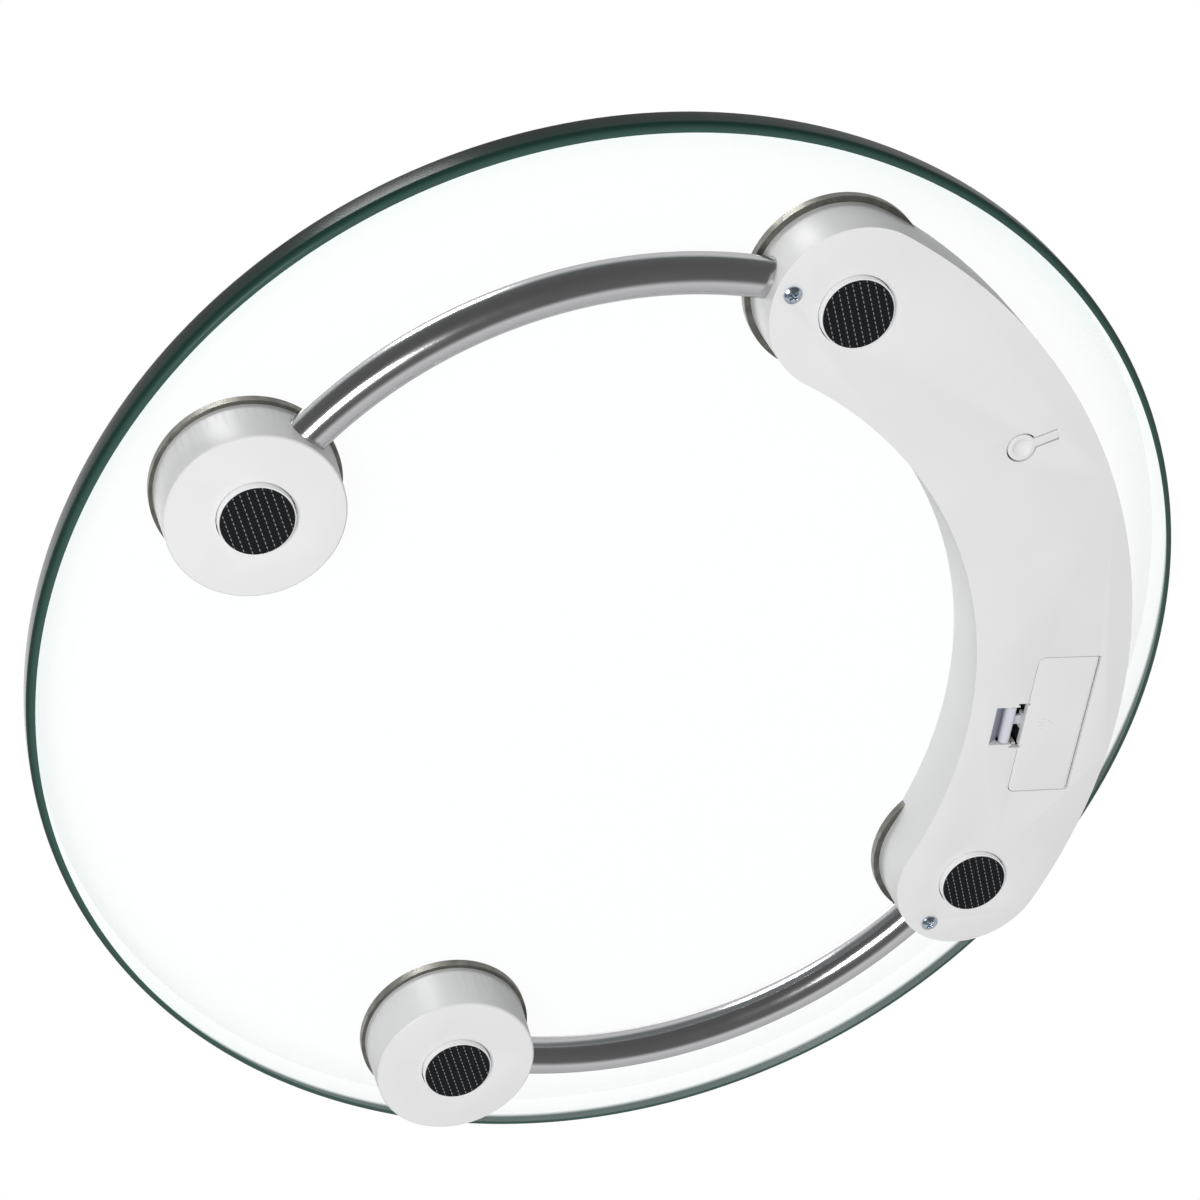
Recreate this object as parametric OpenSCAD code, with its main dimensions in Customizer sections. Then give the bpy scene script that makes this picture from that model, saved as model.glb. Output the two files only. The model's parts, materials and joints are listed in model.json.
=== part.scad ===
// Round glass bathroom scale. A glass platform stands on two round rear pods
// and one curved front housing, which two arched tubes join. All sizes in mm.
// Origin: on the floor under the middle of the glass. +Z up, +Y to the display.

/* [Platform] */
// Diameter of the glass platform
glass_d = 330; // [300:1:400]
// Thickness of the glass
glass_t = 10; // [6:0.5:12]
// Radius of the polished rim, at the top and the bottom
glass_rim_r = 2.4; // [0.5:0.1:2.9]
// Height of the underside of the glass above the floor
glass_z = 20.4; // [20:0.1:26]

/* [Supports] */
// Distance of each foot from the middle of the glass
foot_ring_r = 128.5; // [120:0.5:155]
// Angle of the front right foot from the X axis
foot_angle = 39.06; // [36:0.1:42]
// Radius of the pods and of the ends of the front housing
housing_r = 23.4; // [23:0.1:28.2]
// Height of their flat faces above the floor
face_z = 2.2; // [1.9:0.1:2.6]
// Thickness of the flat faces
face_t = 2; // [1.8:0.1:2.4]
// Thickness of the side walls
wall = 1.8; // [1.5:0.1:2]
// How much wider a pod is at its top than at its face
pod_flare = 0.6; // [0:0.1:1.2]
// Small bevel round every face
edge = 0.4; // [0.2:0.1:0.6]
// How far the mounting plates stand out past the pods
plate_lip = 1.7; // [1.5:0.1:3]
// Thickness of the metal mounting plates
plate_t = 2.4; // [2:0.1:2.8]
// Radius of the three posts under each plate
post_r = 1.8; // [1.2:0.1:1.9]

/* [Tubes] */
// Outside radius of the arched tubes
tube_r = 5.5; // [4.5:0.1:6]
// Wall of the tubes
tube_wall = 0.8; // [0.6:0.1:1]
// Length of tube inside a housing wall
tube_entry = 1.4; // [1:0.1:1.8]

/* [Feet] */
// Radius of the rubber pads
pad_r = 9.5; // [7.5:0.1:10]
// Thickness of the rubber pads
pad_t = 1.6; // [1.2:0.1:2.4]
// How far a pad stands out of its cup
pad_proud = 0.4; // [0.2:0.1:0.6]
// Wall of the foot cup round the pad
cup_wall = 0.5; // [0.4:0.1:0.8]
// Gap between the foot cup and its hole
cup_gap = 0.3; // [0.2:0.05:0.4]
// How far the captive flange reaches past the cup
flange_w = 1.8; // [1.2:0.1:2]
// Travel of a foot at full load
foot_travel = 0.4; // [0.2:0.1:0.5]
// Radius of the stem that presses on the load cell
stem_r = 3; // [2:0.1:3.6]

/* [Load cells] */
// Outside radius of the load cell ring
cell_r = 15.5; // [15:0.1:16]
// Inside radius of the fixed part of the ring
cell_ring_r = 11.3; // [11:0.1:11.5]
// Radius of the sprung tongue
tongue_r = 10; // [9:0.1:10.4]
// Thickness of the load cell
cell_t = 1.5; // [1:0.1:1.8]
// Height of the seat under the load cell
seat_h = 3.4; // [3.2:0.1:3.6]
// Radius of a load cell lead
lead_r = 1.1; // [0.8:0.1:1.2]

/* [Front housing] */
// Radius of the middle line of the curved housing
arc_r = 145.8; // [140:0.2:200]
// Thickness of the top cover
cover_t = 2; // [1.6:0.1:2.2]
// Width of the rebate that holds the top cover
rebate = 0.6; // [0.4:0.1:0.8]
// Radius of the screws near the ends
screw_r = 1.15; // [0.9:0.05:1.2]
// Radius of their heads
screw_head_r = 2.4; // [2:0.1:2.8]
// Height of their heads
screw_head_h = 1.3; // [1:0.1:1.4]
// Distance of these screws from the middle of the foot
screw_from_foot = 18.7; // [18.4:0.1:19]

/* [Display and board] */
// Length of the display
lcd_l = 46; // [40:0.5:46]
// Width of the display
lcd_w = 22; // [16:0.5:22]
// Thickness of the display
lcd_t = 2.6; // [2:0.1:2.8]
// Height of the contact strips under the display
strip_h = 1.7; // [1.6:0.1:2]
// Frame of the display
bezel_w = 1.5; // [1:0.1:1.6]
// Thickness of the circuit board
board_t = 1.6; // [1:0.2:1.6]

/* [Unit button] */
// Radius of the round head
button_r = 3.95; // [3.2:0.05:4.5]
// Width of the slot round it
button_gap = 0.45; // [0.35:0.05:0.6]
// Length of its sprung arm, from the middle of the head
button_arm = 10.4; // [8:0.1:11]
// Width of the arm
button_arm_w = 2.6; // [2:0.1:3.2]
// Radius of the hollow in the head
dimple_r = 2.8; // [2:0.1:3]
// Depth of the hollow
dimple_d = 0.8; // [0.4:0.1:1]
// Angle of the button along the curved housing
button_angle = 73.7; // [72:0.1:75]

/* [Battery bay] */
// Length of the door, along the housing
door_l = 46; // [46:0.5:48]
// Width of the door, across the housing
door_w = 19; // [18.5:0.1:20]
// Gap round the door
door_gap = 0.25; // [0.2:0.05:0.35]
// Corner radius of the door at its latch side
door_corner_r = 2; // [1:0.1:2.4]
// Corner radius of the door at its hinge
hinge_corner_r = 1.2; // [0.9:0.1:2]
// Angle of the bay along the curved housing
bay_angle = 111.2; // [110.8:0.1:112]
// Offset of the bay outward from the middle line
bay_offset = 3.5; // [3:0.1:3.6]
// Radius of a cell
cell_body_r = 5.25; // [5:0.05:5.25]
// Length of a cell without its nub
cell_body_l = 43.5; // [43:0.1:43.6]
// Wall of the battery box
box_wall = 1.2; // [0.8:0.1:1.3]
// Radius of the rolled hinge edge of the door
hinge_r = 1.4; // [1.2:0.05:1.45]
// Radius of the hinge pins
hinge_pin_r = 0.6; // [0.5:0.05:0.65]
// Width of the latch, along the door
latch_w = 12.2; // [10:0.1:12.4]
// Radius of the rolled lip of the latch
lip_r = 1.6; // [1.2:0.05:1.7]

/* [Hidden] */
$fn = 128;

run_gap = 0.05;          // radial clearance of a pin or stem in its hole
fit_gap = 0.15;          // gap round a piece that sits in another
foot_x = foot_ring_r * cos(foot_angle);
foot_y = foot_ring_r * sin(foot_angle);
arc_y = foot_y - sqrt(arc_r * arc_r - foot_x * foot_x);
arc_from = atan2(foot_y - arc_y, foot_x);
plate_r = housing_r + plate_lip;
inner_r = housing_r - wall;              // inside of a pod, half the inside width
floor_z = face_z + face_t;
plate_z = glass_z - plate_t;
cover_z = glass_z - cover_t;
tube_z = (floor_z + plate_z) / 2;
tube_end = inner_r - tube_entry;         // distance of a tube end from the foot
tube_in = 2 * asin(tube_end / (2 * foot_ring_r));
spigot_h = 1;
spigot_wall = 1.6;
post_ring_r = (cell_ring_r + cell_r) / 2;
cell_z = floor_z + seat_h;
cell_top = cell_z + cell_t;
cup_r = pad_r + cup_wall;
flange_z = floor_z + fit_gap;
flange_t = 1.1;
shoulder_r = 5;
shoulder_top = cell_z - foot_travel - 0.2;
seat_r = cup_r + flange_w + 0.4;         // inside of the load cell seat
gauge_t = 0.5;
gauge_at = (tongue_r + cell_ring_r) / 2;
neck_angle = 60;                         // part of the ring that carries the tongue
plug_r = tube_r - tube_wall - run_gap;
plug_in = 16.4;                          // distance of a plug's inner end from the foot
plug_out = tube_end + 4;
screw_turn = 2 * asin(screw_from_foot / (2 * foot_ring_r));
screw_top = tube_z - lead_r - 0.6;
lcd_z = cover_z - 0.2 - lcd_t;
board_top = lcd_z - strip_h;
board_z = board_top - board_t;
mid_y = arc_y + arc_r;
lcd_y = mid_y - 1;
board_x0 = -23;
board_x1 = 53;
board_y0 = mid_y - 19;
board_y1 = mid_y + 12;
boss_r = 2.5;
board_screw_r = 1.1;
board_holes = [[-8, mid_y - 16.2], [28, mid_y + 8.6], [50, mid_y - 16.2], [50, mid_y + 8]];
button_arc_r = arc_r + 3.8;
button_turn = 14.3;                      // turn of the arm from the housing's own direction
arm_t = 1.2;
root_r = arm_t / 2;
switch_w = 6;
switch_z = board_z - 3.5;
switch_stem_r = 1.75;
switch_stem = 0.7;
post_gap = 0.45;                         // free travel from the button post to the switch
door_t = 2;
hinge_z = face_z + hinge_r;
hinge_x = door_w / 2 - hinge_r;
hinge_pin_l = 1.3;
swing_corner_r = door_gap / (1 - sqrt(0.5));  // corner of the opening that the turning edge clears
hinge_block = 2;
cell_zc = floor_z + 6.4;
cell_x0 = -4.1;
cell_x1 = cell_x0 + 2 * cell_body_r + 0.2;
cell_end = -21.9;
bay_l = 51;
box_x0 = cell_x0 - cell_body_r - 0.45;
box_x1 = cell_x1 + cell_body_r + 0.35;
box_top = cell_zc + cell_body_r + 0.35;
contact_t = 0.8;
contact_y = bay_l / 2 - contact_t;
nub_r = 1.9;
nub_l = 1;
slot_x = -12;                            // inner edge of the slot beside the door
slot_w = 15.2;
well_x0 = -19.2;
well_x1 = -15.9;
well_d = 3.3;
leg_x = -door_w / 2 + 0.2;                // leg of the door, behind its edge
leg_w = 5;
leg_wall = 1;
notch_top = 9;                           // height of the notch that clears the latch
latch_x = -13.9;
latch_z = 3.9;
tongue_z = 5.4;
tongue_t = 1.2;

plastic = [0.91, 0.91, 0.91];
steel = [0.62, 0.62, 0.61];
chrome = [0.8, 0.8, 0.82];
rubber = [0.15, 0.15, 0.16];

// ---- places ----

// Local frame of a foot: its origin under the foot, +X away from the middle.
module at_foot(sx, sy) {
    translate([sx * foot_x, sy * foot_y, 0]) rotate([0, 0, atan2(sy * foot_y, sx * foot_x)]) children();
}

// Local frame on the curved housing: +X outward, +Y along the curve.
module at_arc(r, a) {
    translate([r * cos(a), arc_y + r * sin(a), 0]) rotate([0, 0, a]) children();
}

module at_bay() { at_arc(arc_r + bay_offset, bay_angle) children(); }

module at_button() { at_arc(button_arc_r, button_angle) rotate([0, 0, button_turn]) children(); }

module each_foot() { for (sx = [-1, 1], sy = [-1, 1]) at_foot(sx, sy) children(); }

module on_side(sx) { if (sx < 0) mirror([1, 0, 0]) children(); else children(); }

// ---- shared shapes ----

// Bar of round section along an arc in the plan.
module arc_bar(cy, r, a0, a1, z, bar_r) {
    translate([0, cy, z]) rotate([0, 0, a0]) rotate_extrude(angle = a1 - a0)
        translate([r, 0]) circle(r = bar_r, $fn = 48);
}

// Straight round bar from point a to point b.
module rod(a, b, r) {
    v = b - a;
    translate(a) rotate([0, acos(v.z / norm(v)), atan2(v.y, v.x)]) cylinder(r = r, h = norm(v), $fn = 24);
}

// Box given by its two corners.
module block(a, b) { translate(a) cube(b - a); }

// Rounded plate, centred in the plan.
module rounded_plate(x, y, z0, z1, r, right_r = 0) {
    q = right_r > 0 ? right_r : r;
    translate([0, 0, z0]) {
        translate([-x / 2, -y / 2 + r, 0]) cube([r, y - 2 * r, z1 - z0]);
        translate([x / 2 - q, -y / 2 + q, 0]) cube([q, y - 2 * q, z1 - z0]);
        translate([-x / 2 + r, -y / 2, 0]) cube([x - r - q, y, z1 - z0]);
        for (s = [-1, 1]) {
            translate([-x / 2 + r, s * (y / 2 - r), 0]) cylinder(r = r, h = z1 - z0, $fn = 48);
            translate([x / 2 - q, s * (y / 2 - q), 0]) cylinder(r = q, h = z1 - z0, $fn = 48);
        }
    }
}

// Curved bar with round ends, in the plan: the outline of the front housing.
module crescent_plan(half_w) {
    reach = 2 * arc_r;
    intersection() {
        translate([0, arc_y]) difference() {
            circle(r = arc_r + half_w);
            circle(r = arc_r - half_w);
        }
        translate([0, arc_y]) polygon([[0, 0], [reach * cos(arc_from), reach * sin(arc_from)],
            [reach, 2 * reach], [-reach, 2 * reach], [-reach * cos(arc_from), reach * sin(arc_from)]]);
    }
    for (sx = [-1, 1]) translate([sx * foot_x, foot_y]) circle(r = half_w);
}

module crescent(half_w, z0, z1) {
    translate([0, 0, z0]) linear_extrude(height = z1 - z0) crescent_plan(half_w);
}

// The seat under a load cell.
module cell_seat() {
    translate([0, 0, floor_z - 0.1]) difference() {
        cylinder(r = cell_r + 0.1, h = seat_h + 0.1);
        translate([0, 0, -1]) cylinder(r = seat_r, h = seat_h + 2);
    }
}

module tube_bore(sx) {
    on_side(sx) arc_bar(0, foot_ring_r, -foot_angle + tube_in - 1, foot_angle - tube_in + 1,
        tube_z, tube_r + run_gap);
}

// ---- platform ----

module glass_platform() color([0.75, 0.9, 0.88, 0.35]) translate([0, 0, glass_z]) rotate_extrude($fn = 180)
    union() {
        square([glass_d / 2 - glass_rim_r, glass_t]);
        translate([0, glass_rim_r]) square([glass_d / 2, glass_t - 2 * glass_rim_r]);
        for (z = [glass_rim_r, glass_t - glass_rim_r])
            translate([glass_d / 2 - glass_rim_r, z]) circle(r = glass_rim_r, $fn = 48);
    }

// Metal plate bonded to the glass: locating ring and three posts onto the cell.
module plate(sx, sy) color(steel) at_foot(sx, sy) {
    translate([0, 0, plate_z]) cylinder(r = plate_r, h = plate_t);
    translate([0, 0, plate_z - spigot_h]) difference() {
        cylinder(r = inner_r - fit_gap, h = spigot_h + 0.1);
        translate([0, 0, -1]) cylinder(r = inner_r - fit_gap - spigot_wall, h = spigot_h + 1);
    }
    for (a = [0, 120, 240]) rotate([0, 0, a]) translate([post_ring_r, 0, cell_top])
        cylinder(r = post_r, h = plate_z - cell_top + 0.1, $fn = 32);
}

module pod(sx) color(plastic) difference() {
    at_foot(sx, -1) union() {
        difference() {
            rotate_extrude() polygon([[0, face_z], [housing_r - edge, face_z], [housing_r, face_z + edge],
                [housing_r + pod_flare, plate_z], [0, plate_z]]);
            translate([0, 0, floor_z]) cylinder(r = inner_r, h = plate_z);
            translate([0, 0, face_z - 1]) cylinder(r = cup_r + cup_gap, h = face_t + 2);
        }
        cell_seat();
    }
    tube_bore(sx);
}

module tube(sx) color(chrome) on_side(sx)
    rotate([0, 0, -foot_angle + tube_in]) rotate_extrude(angle = 2 * (foot_angle - tube_in))
        translate([foot_ring_r, tube_z]) difference() {
            circle(r = tube_r, $fn = 64);
            circle(r = tube_r - tube_wall, $fn = 64);
        }

// Plug in the front end of a tube: the lead runs through it and the screw holds it.
module tube_plug(sx) color([0.3, 0.3, 0.32]) on_side(sx) difference() {
    arc_bar(0, foot_ring_r, foot_angle - 2 * asin(plug_out / (2 * foot_ring_r)),
        foot_angle - 2 * asin(plug_in / (2 * foot_ring_r)), tube_z, plug_r);
    arc_bar(0, foot_ring_r, 20, foot_angle, tube_z, lead_r + fit_gap);
    screw_place() cylinder(r = screw_r, h = screw_top);
}

module screw_place() {
    a = foot_angle - screw_turn;
    translate([foot_ring_r * cos(a), foot_ring_r * sin(a), 0]) rotate([0, 0, a]) children();
}

// Cross-head screws that hold the tube plugs.
module housing_screws() color([0.6, 0.66, 0.72]) for (sx = [-1, 1]) on_side(sx) screw_place() difference() {
    union() {
        translate([0, 0, face_z - screw_head_h]) cylinder(r1 = screw_head_r * 0.7, r2 = screw_head_r,
            h = screw_head_h, $fn = 48);
        translate([0, 0, face_z - 0.1]) cylinder(r = screw_r, h = screw_top - face_z, $fn = 32);
    }
    for (a = [0, 90]) rotate([0, 0, a]) block([-1.2, -0.25, 0], [1.2, 0.25, face_z - 0.6]);
}

// ---- feet and load cells ----

module foot_cup(sx, sy) color("white") at_foot(sx, sy) difference() {
    union() {
        translate([0, 0, pad_proud]) cylinder(r = cup_r, h = flange_z - pad_proud + 0.1);
        translate([0, 0, flange_z]) cylinder(r = cup_r + flange_w, h = flange_t);
        translate([0, 0, flange_z]) cylinder(r = shoulder_r, h = shoulder_top - flange_z);
        translate([0, 0, flange_z]) cylinder(r = stem_r, h = cell_top + 0.3 - flange_z);
    }
    translate([0, 0, -1]) cylinder(r = pad_r, h = pad_t + 1);
}

module foot_pad(sx, sy) color(rubber) at_foot(sx, sy) cylinder(r = pad_r, h = pad_t);

// Steel disc with a slot that frees a round tongue.
module load_cell(sx, sy) color(steel) at_foot(sx, sy) translate([0, 0, cell_z]) difference() {
    cylinder(r = cell_r, h = cell_t);
    translate([0, 0, -1]) cylinder(r = stem_r + run_gap, h = cell_t + 2);
    rotate([0, 0, 180 + neck_angle / 2]) rotate_extrude(angle = 360 - neck_angle)
        translate([tongue_r, -1]) square([cell_ring_r - tongue_r, cell_t + 2]);
}

module strain_gauges() color("ivory") each_foot()
    block([-gauge_at - 2, -2.5, cell_top], [-gauge_at + 2, 2.5, cell_top + gauge_t]);

// ---- load cell leads ----

// A point at distance d from a foot, in the foot's own frame.
function foot_point(sx, sy, d, z) =
    [sx * (foot_x + d * cos(foot_angle)), sy * (foot_y + d * sin(foot_angle)), z];
function arc_point(r, a, z) = [r * cos(a), arc_y + r * sin(a), z];
function ring_point(r, a, z) = [r * cos(a), r * sin(a), z];

module bend(p) { translate(p) sphere(r = lead_r + 0.12, $fn = 24); }

module lead_path(points) {
    for (i = [0 : len(points) - 2]) rod(points[i], points[i + 1], lead_r);
    for (i = [1 : len(points) - 2]) bend(points[i]);
}

gauge_z = cell_top + gauge_t + lead_r;
lead_wall_r = arc_r - inner_r + lead_r + 1.3;    // leads along the inner wall of the housing
lead_turn = 62;
lead_back = -foot_angle + 3;
lead_top_z = board_top + lead_r;
lead_board_z = board_z - lead_r;

module lead_rear_right() color("dimgray") {
    arc_bar(0, foot_ring_r, lead_back, lead_turn, tube_z, lead_r);
    lead_path([foot_point(1, -1, -gauge_at, gauge_z), ring_point(foot_ring_r, lead_back, tube_z)]);
    bend(ring_point(foot_ring_r, lead_back, tube_z));
    lead_path([ring_point(foot_ring_r, lead_turn, tube_z), [board_x1 - 5, board_y0 + 8.5, lead_board_z]]);
    bend(ring_point(foot_ring_r, lead_turn, tube_z));
}

module lead_front_right() color("dimgray")
    lead_path([foot_point(1, 1, -gauge_at, gauge_z), ring_point(foot_ring_r - 5.1, 52.6, tube_z),
        ring_point(foot_ring_r - 6.7, 60.5, tube_z), [board_x1 - 1.5, board_y0 + 6.5, lead_board_z]]);

module lead_rear_left() color("dimgray") {
    arc_bar(0, foot_ring_r, 132, 180 - lead_back, tube_z, lead_r);
    lead_path([foot_point(-1, -1, -gauge_at, gauge_z), ring_point(foot_ring_r, 180 - lead_back, tube_z)]);
    bend(ring_point(foot_ring_r, 180 - lead_back, tube_z));
    bend(ring_point(foot_ring_r, 132, tube_z));
    lead_path([ring_point(foot_ring_r, 132, tube_z), arc_point(lead_wall_r, 123.5, tube_z),
        arc_point(lead_wall_r, 113.4, tube_z), arc_point(lead_wall_r, 104.7, tube_z),
        [board_x0 + 5, board_y0 + 2.6, lead_board_z]]);
}

module lead_front_left() color("dimgray")
    lead_path([foot_point(-1, 1, -gauge_at, gauge_z), ring_point(foot_ring_r - 15.3, 136.4, lead_top_z),
        arc_point(lead_wall_r, 123.5, lead_top_z), arc_point(lead_wall_r, 113.4, lead_top_z),
        arc_point(lead_wall_r, 104.7, lead_top_z), [board_x0 + 8, board_y0 + 2.7, lead_top_z]]);

// ---- front housing ----

module front_housing() color(plastic) difference() {
    union() {
        difference() {
            crescent(housing_r, face_z, glass_z);
            crescent(inner_r, floor_z, cover_z + 0.1);
            crescent(inner_r + rebate, cover_z, glass_z + 1);
            for (sx = [-1, 1]) at_foot(sx, 1) {
                translate([0, 0, face_z - 1]) cylinder(r = cup_r + cup_gap, h = face_t + 2);
                translate([0, 0, plate_z]) cylinder(r = plate_r + fit_gap, h = plate_t + 1);
            }
        }
        for (sx = [-1, 1]) at_foot(sx, 1) cell_seat();
        for (p = board_holes) translate([p.x, p.y, floor_z - 0.1])
            cylinder(r = boss_r, h = board_z - floor_z + 0.1, $fn = 48);
        at_bay() for (s = [-1, 1]) translate([hinge_x - 2, s * (door_l / 2 + door_gap + hinge_block / 2)
            - hinge_block / 2, floor_z - 0.1]) cube([4, hinge_block, hinge_r + 0.3]);
        at_bay() well_wedge(1, 1.3);
    }
    tube_bore(1);
    tube_bore(-1);
    for (sx = [-1, 1]) on_side(sx) screw_place() translate([0, 0, face_z - 1])
        cylinder(r = screw_r + 0.3, h = cell_z, $fn = 32);
    for (p = board_holes) translate([p.x, p.y, board_z - 6.5])
        cylinder(r = board_screw_r + run_gap, h = 8, $fn = 32);
    at_bay() {
        rounded_plate(door_w + 2 * door_gap, door_l + 2 * door_gap, face_z - 1, floor_z + 1,
            door_corner_r + door_gap, swing_corner_r);
        translate([hinge_x, door_l / 2 + hinge_pin_l + 0.2, hinge_z]) rotate([90, 0, 0])
            cylinder(r = hinge_pin_r + run_gap, h = door_l + 2 * hinge_pin_l + 0.4, $fn = 32);
        block([well_x1, -latch_w / 2 - 0.3, face_z - 1], [-door_w / 2, latch_w / 2 + 0.3, notch_top + 1]);
        block([slot_x, -slot_w / 2, face_z - 1], [-door_w / 2, slot_w / 2, floor_z + 1]);
        slot_ends();
        well_wedge(0, 0);
    }
    at_button() {
        translate([0, 0, face_z - 1]) cylinder(r = button_r + button_gap, h = face_t + 2);
        block([0, -button_arm_w / 2 - button_gap, face_z - 1],
            [button_arm, button_arm_w / 2 + button_gap, floor_z + 1]);
        translate([button_arm, button_arm_w / 2 + button_gap, face_z + root_r]) rotate([90, 0, 0])
            cylinder(r = root_r + run_gap, h = button_arm_w + 2 * button_gap, $fn = 32);
    }
}

// The two cross strokes at the ends of the slot beside the door.
module slot_ends() {
    for (s = [-1, 1]) block([slot_x - 0.6, s * (slot_w / 2 - 0.35) - 0.35, face_z - 1],
        [-door_w / 2 + 0.7, s * (slot_w / 2 - 0.35) + 0.35, floor_z + 1]);
}

// Finger well beside the latch: a wedge, or with grow its thicker wall above.
module well_wedge(grow, t) {
    half = latch_w / 2 + 0.3 + grow;
    translate([0, half, 0]) rotate([90, 0, 0]) linear_extrude(height = 2 * half)
        polygon([[well_x0 - grow, face_z + grow * 0.5], [well_x1 + (grow > 0 ? 0 : 0.5), face_z - 0.5 + grow],
            [well_x1 + (grow > 0 ? 0 : 0.5), face_z + well_d + t], [well_x0 - grow, face_z + t + grow * 0.2]]);
}

module top_cover() color(plastic) difference() {
    crescent(inner_r + rebate - fit_gap, cover_z, glass_z);
    for (sx = [-1, 1]) at_foot(sx, 1) translate([0, 0, cover_z - 1])
        cylinder(r = plate_r + 2 * fit_gap, h = cover_t + 2);
    translate([0, lcd_y, 0]) block([-lcd_l / 2 + 1 - 0.1, -lcd_w / 2 + 1 - 0.1, cover_z - 1],
        [lcd_l / 2 - 1 + 0.1, lcd_w / 2 - 1 + 0.1, glass_z + 1]);
}

module display_window() color([0.8, 0.85, 0.85, 0.5]) translate([0, lcd_y, 0])
    block([-lcd_l / 2 + 1, -lcd_w / 2 + 1, cover_z], [lcd_l / 2 - 1, lcd_w / 2 - 1, glass_z]);

// ---- display and board ----

module display_panel() color([0.55, 0.6, 0.52]) translate([0, lcd_y, 0])
    block([-lcd_l / 2, -lcd_w / 2, lcd_z], [lcd_l / 2, lcd_w / 2, lcd_z + lcd_t]);

module display_bezel() color([0.2, 0.2, 0.22]) translate([0, lcd_y, 0]) difference() {
    block([-lcd_l / 2 - fit_gap - bezel_w, -lcd_w / 2 - fit_gap - bezel_w, board_top],
        [lcd_l / 2 + fit_gap + bezel_w, lcd_w / 2 + fit_gap + bezel_w, lcd_z + lcd_t]);
    block([-lcd_l / 2 - fit_gap, -lcd_w / 2 - fit_gap, board_top - 1],
        [lcd_l / 2 + fit_gap, lcd_w / 2 + fit_gap, lcd_z + lcd_t + 1]);
}

module contact_strips() color("deeppink") translate([0, lcd_y, 0]) for (s = [-1, 1])
    translate([0, s * (lcd_w / 2 - 1.5), 0]) block([-lcd_l / 2 + 1, -1, board_top], [lcd_l / 2 - 1, 1, lcd_z]);

module circuit_board() color([0.1, 0.4, 0.2]) difference() {
    block([board_x0, board_y0, board_z], [board_x1, board_y1, board_top]);
    for (p = board_holes) translate([p.x, p.y, board_z - 1])
        cylinder(r = board_screw_r + run_gap, h = board_t + 2, $fn = 32);
}

module board_screws() color(steel) for (p = board_holes) translate([p.x, p.y, 0]) {
    translate([0, 0, board_top]) cylinder(r1 = 2.2, r2 = 1.6, h = 1.4, $fn = 32);
    translate([0, 0, board_z - 6]) cylinder(r = board_screw_r, h = board_t + 6.1, $fn = 32);
}

module controller_chip() color([0.12, 0.12, 0.13]) translate([14, mid_y - 3, board_z - 1.6]) cube([10, 10, 1.6]);

module board_components() color([0.7, 0.6, 0.4]) {
    translate([4, mid_y - 4, board_z - 2.5]) cylinder(r = 2, h = 2.5, $fn = 32);
    for (i = [0 : 4]) translate([-14 + 5 * i, mid_y - 12, board_z - 0.8]) cube([2, 1.25, 0.8]);
    for (i = [0 : 2]) translate([28, mid_y - 6 + 4 * i, board_z - 0.8]) cube([1.25, 2, 0.8]);
}

module unit_switch() color([0.2, 0.2, 0.2]) at_button() {
    block([-switch_w / 2, -switch_w / 2, switch_z], [switch_w / 2, switch_w / 2, board_z]);
    translate([0, 0, switch_z - switch_stem]) cylinder(r = switch_stem_r, h = switch_stem + 0.1, $fn = 32);
}

// Button: round head with a hollow, sprung arm with a rolled root, inner post.
module unit_button() color(plastic) at_button() difference() {
    union() {
        translate([0, 0, face_z]) cylinder(r = button_r, h = face_t);
        block([0, -button_arm_w / 2, face_z], [button_arm, button_arm_w / 2, face_z + arm_t]);
        translate([button_arm, button_arm_w / 2, face_z + root_r]) rotate([90, 0, 0])
            cylinder(r = root_r, h = button_arm_w, $fn = 32);
        translate([0, 0, floor_z - 0.1])
            cylinder(r = 1.2, h = switch_z - switch_stem - post_gap - floor_z + 0.1, $fn = 32);
    }
    dish_r = (dimple_r * dimple_r + dimple_d * dimple_d) / (2 * dimple_d);
    translate([0, 0, face_z + dimple_d - dish_r]) sphere(r = dish_r);
}

// ---- battery bay ----

module battery_box() color([0.85, 0.85, 0.85]) at_bay() difference() {
    block([box_x0 - box_wall, -bay_l / 2 - box_wall, floor_z],
        [box_x1 + box_wall, bay_l / 2 + box_wall, box_top + box_wall]);
    block([box_x0, -bay_l / 2, floor_z - 1], [box_x1, bay_l / 2, box_top]);
    block([box_x0 - 2, -latch_w / 2 - 1, floor_z - 1], [box_x0 + 1, latch_w / 2 + 1, notch_top + 0.5]);
}

// A cell lies along the housing; its nub points to side s.
module battery_cell(x, s) at_bay() translate([x, 0, cell_zc]) rotate([-90 * s, 0, 0])
    union() {
        translate([0, 0, cell_end]) cylinder(r = cell_body_r, h = cell_body_l);
        translate([0, 0, cell_end + cell_body_l - 0.1]) cylinder(r = nub_r, h = nub_l + 0.1, $fn = 48);
    }

module battery_cell_inner() color([0.2, 0.3, 0.5]) battery_cell(cell_x0, 1);
module battery_cell_outer() color([0.2, 0.3, 0.5]) battery_cell(cell_x1, -1);

// Contact plate at the end s, with a button for a nub or a cone for a spring.
module contact_pad(x, s) { at_bay() block([x - 4, s * (contact_y + contact_t / 2) - contact_t / 2, cell_zc - 4],
    [x + 4, s * (contact_y + contact_t / 2) + contact_t / 2, cell_zc + 4]); }

module contact_button(x, s) { at_bay() translate([x, s * contact_y, cell_zc]) rotate([90 * s, 0, 0])
    cylinder(r = nub_r, h = contact_y - (cell_end + cell_body_l + nub_l), $fn = 48); }

module contact_spring(x, s) { at_bay() translate([x, s * contact_y, cell_zc]) rotate([90 * s, 0, 0])
    cylinder(r1 = 3.4, r2 = 2.2, h = contact_y + cell_end, $fn = 48); }

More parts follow.
